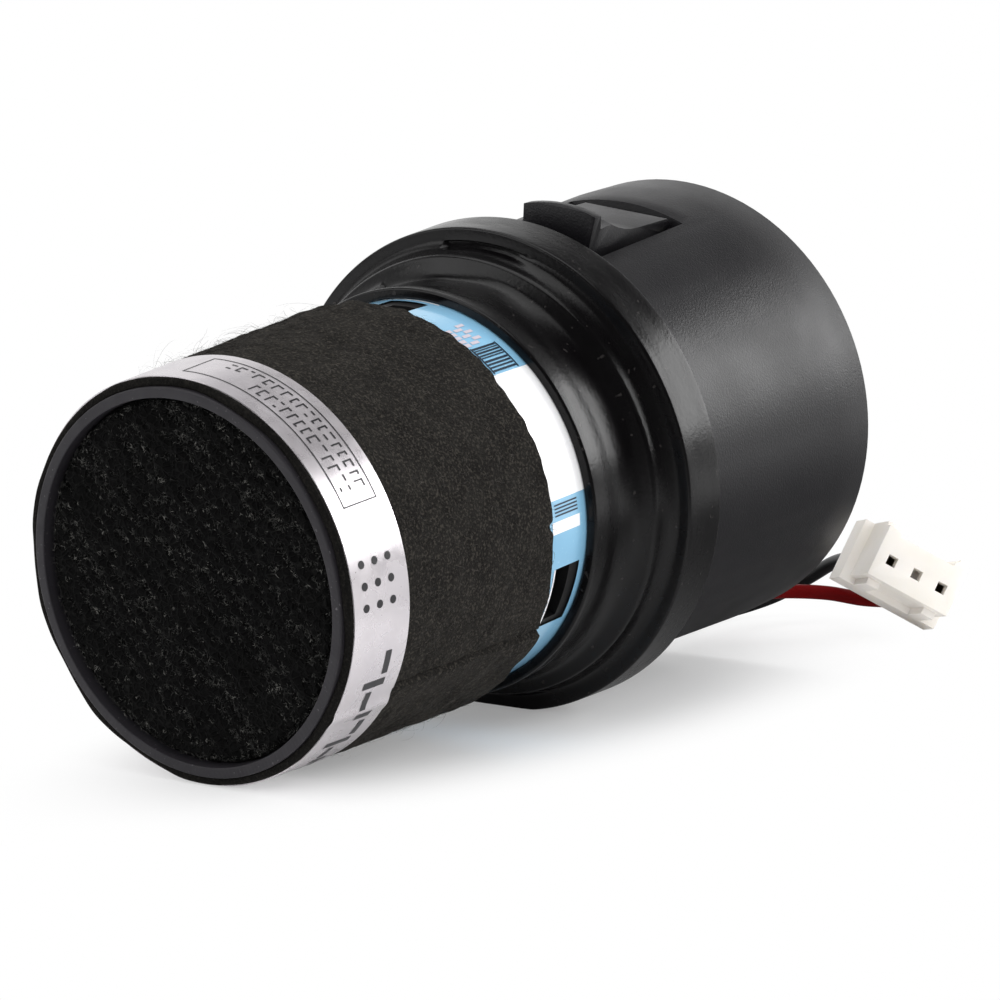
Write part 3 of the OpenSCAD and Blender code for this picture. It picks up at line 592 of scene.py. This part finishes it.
inside = np.hypot(paths[..., 0], paths[..., 1]).max(1) <= 13.05
ribbons("foam_curls", paths[inside], rng.uniform(0.035, 0.06, CURLS)[inside], strut_glints)

# Felt wrap: pressed felt, black, with a short nap that lies round the barrel
felt_look = Look("black_felt", "161514", 1.0, Sheen_Weight=0.06, Sheen_Roughness=0.6,
                 Specular_IOR_Level=0.1)
felt_look.set(Sheen_Tint=linear("a39a90"))
nap = felt_look.texture("TexNoise", 0.5, stretch=(2.2, 1, 2.2), Detail=3, Roughness=0.7)
felt_look.tint(nap, 0.35, 0.6, 0.9, "21201e")
felt_look.tint(felt_look.texture("TexNoise", 3.5, Detail=3), 0.4, 0.7, 0.6, "0e0d0d")
felt_look.tint(felt_look.texture("TexNoise", 0.2), 0.52, 0.66, 0.8, "3c3934")
# The cut front edge is darker. along is how far forward a point lies, in metres from the origin
along = add(felt_look.tree, "VectorMath", {"operation": "DOT_PRODUCT"}, i0=felt_look.place,
            i1=(0, -math.cos(TILT), -math.sin(TILT)))
cut_start, cut_end = [(z - SHIFT * math.cos(TILT) - HEIGHT * math.sin(TILT)) * MM for z in (61.3, 61.75)]
felt_look.tint(along, cut_start, cut_end, 0.8, "050505")
felt_look.relief(nap, 0.14)
felt_look.relief(felt_look.texture("TexNoise", 0.14), 0.05)
FELT = rounded([
    (14.98, CLOTH_Z), (CLOTH_REAR_R, CLOTH_Z, 0.25), (CLOTH_FRONT_R, CLOTH_TOP, 0.2),
    (14.02, CLOTH_TOP, 0.12), (14.02, 56.6), (14.0, 56.5), (14.85, 41.6), (14.85, 40.7), (14.98, 40.7),
])
SEAM_TURN, SEAM_END_Z, LAP_T, NOTCH_TURN = 120.1, 56.4, 0.26, 90


def felt_warp(r, turn, z):
    """A lumpy skin, a lapped seam, a nick in the rear edge, and edges that are cut unevenly."""
    outer = soft(r - felt_skin(z), -0.35, -0.1)
    spot = polar(r, turn, z)
    free = 1 - soft(z, SILVER_Z - 0.8, SILVER_Z - 0.1)
    r = r + outer * free * (0.05 * field(spot, 31, 1.3) + 0.09 * field(spot, 32, 4.0))
    lap = between(turn, 120.2, 120.9, 122, 136) * (1 - soft(z, 55.8, 56.5))
    dip = np.exp(-((turn - SEAM_TURN) / 0.5) ** 2) * (1 - soft(z, SEAM_END_Z - 0.8, SEAM_END_Z))
    r = r + outer * (LAP_T * lap - 0.22 * dip)
    rear = 1 - soft(z, CLOTH_Z, CLOTH_Z + 0.9)
    front = soft(z, SILVER_TOP + 0.05, CLOTH_TOP - 0.05)
    z = z + rear * 0.10 * wave(turn, 41, (3, 5, 9, 14, 23), 0.5)
    z = z + front * np.clip(0.15 * wave(turn, 42, (4, 7, 11, 17, 29), 0.5), -0.5, 0.15)
    notch = np.exp(-((turn - NOTCH_TURN) / 1.1) ** 2) * rear
    r = r + front * outer * np.clip(0.09 * wave(turn, 43, (2, 5, 9, 16, 31), 0.5), -0.25, 0.16)
    return r - notch * 0.5 * outer, turn, z


felt = lathe("felt_cloth", split(FELT, 0.4), felt_look, 720, felt_warp, sharp=60)
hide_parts("felt_wrap")


def hairs(name, seed, count, z0, z1, long, stand, width, turns=(0, 360)):
    """Loose fibres on the felt: most lie flat, and some stand up."""
    source = np.random.default_rng(seed)
    turn = source.uniform(*turns, count)
    z = source.uniform(z0, z1, count)
    length = long * source.gamma(3, 1 / 3, count)
    rise = stand * source.uniform(0, 1, count) ** 2
    lean = source.uniform(0, 6.28, count)
    curl = source.normal(0, 1.3, count)
    steps = 6
    rows = []
    r = felt_skin(z) + 0.02
    for k in range(steps):
        rows.append(polar(r, turn, z))
        a = lean + curl * k / steps
        turn = turn + np.cos(a) * length / steps * TURN_PER_MM
        z = np.clip(z + np.sin(a) * length / steps, z0 - 0.2, z1 + 0.3)
        r = np.maximum(r + rise * length / steps * (1 - 0.25 * k), felt_skin(z) + 0.01)
    ribbons(name, np.stack(rows, 1), width * source.uniform(0.6, 1.3, count), fibre)


# Felt fibres: dark, with browner and paler ones among them, drawn as thick as they need to show
fibre = Look("felt_fibres", "292725", 0.85, Specular_IOR_Level=0.3)
fibre.tint(fibre.texture("TexNoise", 1.5), 0.45, 0.6, 1, "1d1a18")
fibre.tint(fibre.texture("TexNoise", 0.8, Detail=1), 0.56, 0.66, 0.7, "5b5651")
# Name, seed, count, lowest and highest height, length, how steeply they stand, and width
hairs("felt_nap", 51, 16000, 40.0, 56.0, 0.6, 0.25, 0.026)
hairs("felt_fuzz", 52, 900, 40.0, 56.0, 1.6, 1.0, 0.018)
hairs("felt_wisps", 53, 1500, 41.0, 55.8, 0.9, 1.3, 0.014, (-75, 25))
hairs("felt_loose", 54, 220, 48.0, 55.8, 2.4, 1.5, 0.016, (-80, -25))

# Silver band: metallised paper, satin, with a slightly uneven sheen
silver = Look("silver_paper", "cfcacd", 0.28, Metallic=0.7)
silver.tint(silver.texture("TexNoise", 7), 0.4, 0.7, 0.4, "bcb7bd")
silver.roughness(silver.texture("TexNoise", 1.5), 0.24, 0.34)
silver.relief(silver.texture("TexNoise", 6), 0.014)
# Printing ink: black, with a dull shine
ink = plain("black_ink", "17161a", "232126", 0.4, 0.2, 0.002)
SILVER = np.array([
    (felt_skin(SILVER_Z), SILVER_Z), (felt_skin(SILVER_Z) + SILVER_T, SILVER_Z),
    (felt_skin(SILVER_TOP) + SILVER_T, SILVER_TOP), (felt_skin(SILVER_TOP), SILVER_TOP),
])


def silver_skin(z):
    """The silver band's outer radius."""
    return felt_skin(z) + SILVER_T


def silver_warp(r, turn, z):
    """Waves in the band's edges, a kink over the felt's seam, and slack in its skin."""
    top = soft(z, 59.1, 61.6)
    z = z + 0.03 * wave(turn, 61, (2, 3, 5)) + top * 0.05 * wave(turn, 62, (3, 6, 11), 0.5)
    kink = np.exp(-((turn - 126) / 2.0) ** 2)
    return r + 0.12 * kink + 0.02 * wave(turn, 63, (4, 7, 11)), turn, z


band = lathe("silver_label", split(SILVER, 0.5), silver, 480, silver_warp)
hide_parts("silver_band")


def frame_bars(t0, t1, z0, z1, line_t, line_z):
    """Four thin bars round a field."""
    return [(t0, t1, z1, z1 + line_z), (t0, t1, z0, z0 + line_z),
            (t0, t0 + line_t, z0, z1 + line_z), (t1 - line_t, t1, z0, z1 + line_z)]


def stroke_bars():
    """Two rows of broken strokes. Each is (turn, turn, height, height)."""
    source = np.random.default_rng(71)
    stroke, out = 0.16, []
    for z, t, end, height in ((58.95, 22, 61, 1.0), (57.55, 9, 62, 0.85)):
        while t < end:
            wide = source.uniform(1.2, 2.4)
            out.append((t, t + wide, z, z + stroke))
            if source.uniform() < 0.75:
                out.append((t, t + 0.5, z, z + height))
            if source.uniform() < 0.5:
                out.append((t, t + wide * 0.8, z + height - stroke, z + height))
            t += wide + 1.2
    return out


def block_bars():
    """A row of bold strokes, from their widths in degrees and their lower and upper heights."""
    foot, head, post = (6, 57.6, 58.2), (6, 58.6, 59.2), (2.2, 57.6, 59.2)
    tall = (2.2, 57.6, 60.2)
    t, out = 107, []
    for wide, z0, z1 in ((7, 57.6, 58.2), (2.2, 57.6, 59.8), head, post, foot, tall, head, post,
                         (8, 57.6, 58.2), tall):
        out.append((t, t + wide, z0, z1))
        t += wide + 1.5
    return out


dots = [(86.9 + row, 59.15 + col, 0.3) for row in (-5.9, 0, 5.9) for col in (-1.35, 0, 1.35)]
print_bars = frame_bars(0.8, 65.8, 57.05, 60.35, 0.45, 0.11) + stroke_bars() + block_bars()
marks("silver_print", silver_skin, ink, print_bars, dots, silver_warp)

# Blue band: printed polyester film, glossy and clear-coated, with die-cut windows
blue = Look("blue_film", "84b8d8", 0.3, Coat_Weight=0.8, Coat_Roughness=0.08)
blue.tint(blue.texture("TexNoise", 5, Detail=3), 0.4, 0.7, 0.5, "8fc4e2")
blue.tint(blue.texture("TexNoise", 0.4, Detail=1), 0.68, 0.74, 0.3, "b5d9ec")
blue.relief(blue.texture("TexNoise", 3), 0.012)
FILM_R, PRINT_R, FILM_STEPS, WINDOW_Z, SIDE_TOP, TOP = 14.975, 14.985, 720, 35.5, 38.5, 39.3
LEVELS = np.array([32.5, 34.1, 34.9, WINDOW_Z, 36.3, 37.1, 37.8, SIDE_TOP, TOP, 39.9, 40.7])
WINDOWS = ((0, 9.5, TOP), (356, 360, TOP), (104, 123, SIDE_TOP), (231.5, 248.5, TOP))


def window_cut(column, row):
    """Whether a face of the film lies in a window, each of which is (turn, turn, top)."""
    turn = (column + 0.5) * 360 / FILM_STEPS
    low, high = LEVELS[row], LEVELS[row + 1]
    inside = [(turn > a) & (turn < b) & (high <= top) for a, b, top in WINDOWS]
    return np.any(inside, axis=0) & (low >= WINDOW_Z)


def print_skin(z):
    """The film's printed side."""
    return PRINT_R


film = lathe("blue_label", [(FILM_R, z) for z in LEVELS], blue, FILM_STEPS, closed=False, cut=window_cut)
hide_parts("blue_band")
# Fields on the film, white and pale, with the film's gloss: mostly print, with painted highlights among the
# white ones
white = plain("white_print_and_painted_highlight", "f4f4f6", "ffffff", 0.28, 0.4, 0.003, Coat_Weight=0.8)
pale = plain("pale_field", "cdbdc4", "b9c3d4", 0.35, 0.4, 0.003, Coat_Weight=0.6)
# Printing ink on the film: blue-black
label_ink = plain("label_ink", "1d2a38", "223347", 0.35, 0.3, 0.002)
# White fields, in order: a bare field at 45 to 84 degrees, painted white as a painted highlight on its foil;
# a printed block; a thin line just before the mount's collar, which is a painted highlight of the collar's
# rim; and a thin line along the side window's felt-side edge
marks("label_white_and_painted_highlight", print_skin, white,
      [(45, 84, 34.7, 40.2), (90, 93.5, 35.7, 39.1), (-20, 12, 34.97, 35.13), (104, 123, 38.5, 38.68)])
blots = [(24 + 1.6 * k, 25.2 + 1.6 * k, 36.4 + 0.7 * (k % 2), 37.3 + 0.7 * (k % 2)) for k in range(6)]
blots += [(25 + 1.8 * k, 26.4 + 1.8 * k, 38.2, 38.9) for k in range(5)]
marks("label_pale", print_skin, pale, blots)


def striped_bars():
    """Four even stripes, and a field of uneven ones between two rules."""
    source = np.random.default_rng(72)
    out = [(t, t + 0.45, 35.9, 38.7) for t in (85.2, 86.2, 87.2, 88.2)]
    t = 34.6
    while t < 44.2:
        wide = source.uniform(0.3, 0.8)
        out.append((t, t + wide, 35.9, 38.6))
        t += wide + source.uniform(0.35, 0.8)
    return out + [(34.4, 44.6, 35.7, 35.85), (34.4, 44.6, 38.6, 38.75)]


marks("label_bars", print_skin, label_ink, striped_bars(), lift=0.03)

# Chamber wad: open-cell foam, grey and rough
foam_wad = plain("wadding", "3d3d40", "2b2b2e", 0.9, 0.5, 0.2)
WAD_R, WAD_Z, WAD_TOP = 12.15, 21.8, 33.8
WAD = rounded([(0, WAD_Z), (WAD_R, WAD_Z, 0.8), (WAD_R, WAD_TOP, 0.8), (0, WAD_TOP)], 5)


def wad_warp(r, turn, z):
    """Hollows in the wad's skin."""
    return r - (r > 1) * 0.12 * np.abs(field(polar(r, turn, z), 81, 1.5)), turn, z


wad = lathe("wad_foam", split(WAD, 0.6, closed=False), foam_wad, 160, wad_warp, sharp=None, closed=False)
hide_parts("chamber_wad")


# CAD nodes that keep their own shape
def wear(node, look):
    """Gives a CAD node its material."""
    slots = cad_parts[node].data.materials
    slots.clear()
    slots.append(look.mat)


wear("barrel", barrel_look)
# Moulded ABS: dark grey, satin
wear("rear_cap", plain("cap_plastic", "1c1c1e", "29282b", 0.48))
# Phenolic paper laminate: brown, sawn and a little dull
wear("terminal_board", plain("board_laminate", "6f5128", "8a683a", 0.5, 0.25, 0.008))
# Tin solder: bright where it flowed, with a soft skin
wear("solder_beads", plain("solder", "b9bbbd", "9c9ea1", 0.3, 0.3, 0.02, Metallic=1.0))
# Moulded ABS: mid grey, satin
wear("motor_carrier", plain("carrier_plastic", "2f2f32", "3a3a3d", 0.5))
# Woven polyester: pale threads 0.14 mm apart, dark between them
weave = Look("vent_weave", "d2cdbf", 0.85)
thread = weave.texture("TexWave", 0.143).outputs["Fac"]
weave.tint(thread, 0.2, 0.6, 0, "a39d8d", rest=0.7)
weave.relief(thread, 0.05)
wear("vent_cloth", weave)
# Zinc-plated steel, pressed: cool grey metal with soft reflections
steel = plain("zinc_steel", "b4b6ba", "9a9da3", 0.3, 0.4, 0.006, Metallic=1.0)
for node in ("yoke", "pole_plate", "grille_plate"):
    wear(node, steel)
# Nickel plating on the magnet: warmer and brighter
wear("magnet", plain("nickel", "a9a59c", "98948b", 0.22, 0.5, 0.004, Metallic=1.0))
# Enamelled copper wire, wound: a turn each 0.21 mm, coarser than the real one so that it shows
winding = Look("copper_winding", "b46a35", 0.35, Metallic=0.9)
coil_turns = winding.texture("TexWave", 0.21, {"bands_direction": "Y"}).outputs["Fac"]
winding.tint(coil_turns, 0.1, 0.5, 0, "6d3a17", rest=0.7)
winding.relief(coil_turns, 0.03)
wear("voice_coil", winding)
# Polyester film, pressed: clear with a yellow cast
wear("diaphragm", plain("clear_film", "c9c4b0", "bdb8a2", 0.18, 1.0, 0.004, Transmission_Weight=0.5))
# Aluminium, turned: satin
wear("diaphragm_ring", plain("clamp_metal", "b3b5b8", "9da0a4", 0.34, 0.3, 0.006, Metallic=1.0))

# Floor, lights and background: white on the far side, dark behind the camera
DOT, SMOOTH = {"operation": "DOT_PRODUCT"}, {"interpolation_type": "SMOOTHSTEP"}
TIMES, PLUS, MINUS, LARGER = [{"operation": name} for name in ("MULTIPLY", "ADD", "SUBTRACT", "MAXIMUM")]
FAR_SIDE = (-0.594, 0.804, 0)
NO_LIGHT = 0.0


def behind(tree, place, a, b):
    """1 past b on the side of the backdrop, and nearly 0 on the camera's side."""
    side = add(tree, "VectorMath", DOT, i0=place, i1=FAR_SIDE)
    return add(tree, "MapRange", SMOOTH, Value=side, From_Min=a, From_Max=b, To_Min=0.06, To_Max=1)


def away_from(middle, scale):
    """The distance on the floor from a point on the Y axis, with Y's share scaled."""
    across = add(nt, "VectorMath", {"operation": "MULTIPLY_ADD"}, i0=spot, i1=(1, scale, 1),
                 i2=(0, -middle * scale, 0))
    return add(nt, "VectorMath", {"operation": "LENGTH"}, i0=across)


scene = bpy.context.scene
scene.view_settings.view_transform = "Standard"
bm = bmesh.new()
bmesh.ops.create_grid(bm, x_segments=1, y_segments=1, size=3)
floor_mesh = bpy.data.meshes.new("floor")
bm.to_mesh(floor_mesh)
bm.free()
floor = bpy.data.objects.new("floor", floor_mesh)
scene.collection.objects.link(floor)

# Painted board: off-white and dull. Away from the part, the camera sees it as plain white
floor_mat = bpy.data.materials.new("floor")
floor_mat.use_nodes = True
floor_mesh.materials.append(floor_mat)
nt = floor_mat.node_tree
board = nt.nodes["Principled BSDF"]
fill_in(board.inputs, {"Base_Color": (0.93, 0.93, 0.935, 1), "Roughness": 0.6})
paths = add(nt, "LightPath").outputs
spot = add(nt, "TexCoord").outputs["Object"]
far = add(nt, "MapRange", SMOOTH, Value=away_from(0.005, 0.4), From_Min=0.009, From_Max=0.022,
          To_Min=0.25, To_Max=1)
looks = add(nt, "Math", LARGER, i0=paths["Is Camera Ray"], i1=paths["Is Transmission Ray"])
away = add(nt, "MapRange", SMOOTH, Value=away_from(0, 0.5), From_Min=0.03, From_Max=0.12, To_Min=0, To_Max=1)
shone = add(nt, "Math", TIMES, i0=away, i1=behind(nt, spot, -0.05, 0.25))
shone = add(nt, "Math", TIMES, i0=shone, i1=paths["Is Glossy Ray"])
seen = add(nt, "Math", LARGER, i0=add(nt, "Math", TIMES, i0=far, i1=looks), i1=shone)
# In reflections the floor is dim under and behind the cup and towards the camera's right, as dark
# cards there would make it
x, y = add(nt, "SeparateXYZ", Vector=spot).outputs[:2]
rear = add(nt, "MapRange", SMOOTH, Value=y, From_Min=-0.005, From_Max=0.035, To_Min=0, To_Max=0.8)
near = add(nt, "MapRange", SMOOTH, Value=x, From_Min=0.05, From_Max=0.085, To_Min=1, To_Max=0)
ahead = add(nt, "VectorMath", DOT, i0=spot, i1=(0.77, -0.63, 0))
front = add(nt, "MapRange", SMOOTH, Value=ahead, From_Min=0.03, From_Max=0.08, To_Min=0, To_Max=0.85)
shade = add(nt, "Math", LARGER, i0=add(nt, "Math", TIMES, i0=rear, i1=near), i1=front)
shade = add(nt, "Math", TIMES, i0=shade, i1=paths["Is Glossy Ray"])
dim = add(nt, "MixShader", i0=shade, i1=board, i2=add(nt, "Emission", Strength=NO_LIGHT))
white_light = add(nt, "Emission", Color=(1, 1, 1, 1), Strength=1.0)
mix = add(nt, "MixShader", i0=seen, i1=dim, i2=white_light)
fill_in(nt.nodes["Material Output"].inputs, {"Surface": mix})

# Background: white where it is seen, bright from the far side in reflections, and a soft fill light
# that is strongest from the camera's right
world = bpy.data.worlds.new("studio")
scene.world = world
world.use_nodes = True
nt = world.node_tree
paths = add(nt, "LightPath").outputs
shown = add(nt, "Math", LARGER, i0=paths["Is Camera Ray"], i1=paths["Is Transmission Ray"])
sky = add(nt, "TexCoord").outputs["Object"]
height = add(nt, "SeparateXYZ", Vector=sky).outputs["Z"]
up = add(nt, "MapRange", SMOOTH, Value=height, From_Min=0.56, From_Max=0.72, To_Min=1, To_Max=0.15)
shine = add(nt, "Math", TIMES, i0=up, i1=behind(nt, sky, -0.1, 0.5))
shine = add(nt, "Math", TIMES, i0=shine, i1=paths["Is Glossy Ray"])
side = add(nt, "VectorMath", DOT, i0=sky, i1=(0.75, -0.63, 0.2))
fill = add(nt, "MapRange", SMOOTH, Value=side, From_Min=0.1, From_Max=0.9, To_Min=0.28, To_Max=1.45)
fill = add(nt, "Math", TIMES, i0=fill, i1=add(nt, "Math", MINUS, i0=1.0, i1=paths["Is Glossy Ray"]))
strength = add(nt, "Math", LARGER, i0=add(nt, "Math", PLUS, i0=fill, i1=shine), i1=shown)
fill_in(nt.nodes["Background"].inputs, {"Color": (1, 1, 1, 1), "Strength": strength})

AIM = Vector((0, 0, 0.02))
for name, at, wide, tall, power in (
    ("side_box", (0.42, 0.52, 0.28), 0.42, 0.36, 2.9),
    ("top_box", (-0.10, -0.05, 0.75), 0.7, 0.7, 2.9),
    ("front_box", (-0.45, -0.60, 0.35), 0.5, 0.5, 1.7),
):
    light = bpy.data.lights.new(name, "AREA")
    light.shape = "RECTANGLE"
    light.size, light.size_y = wide, tall
    light.energy = power
    box = bpy.data.objects.new(name, light)
    box.location = at
    box.rotation_euler = (AIM - Vector(at)).to_track_quat("-Z", "Y").to_euler()
    scene.collection.objects.link(box)
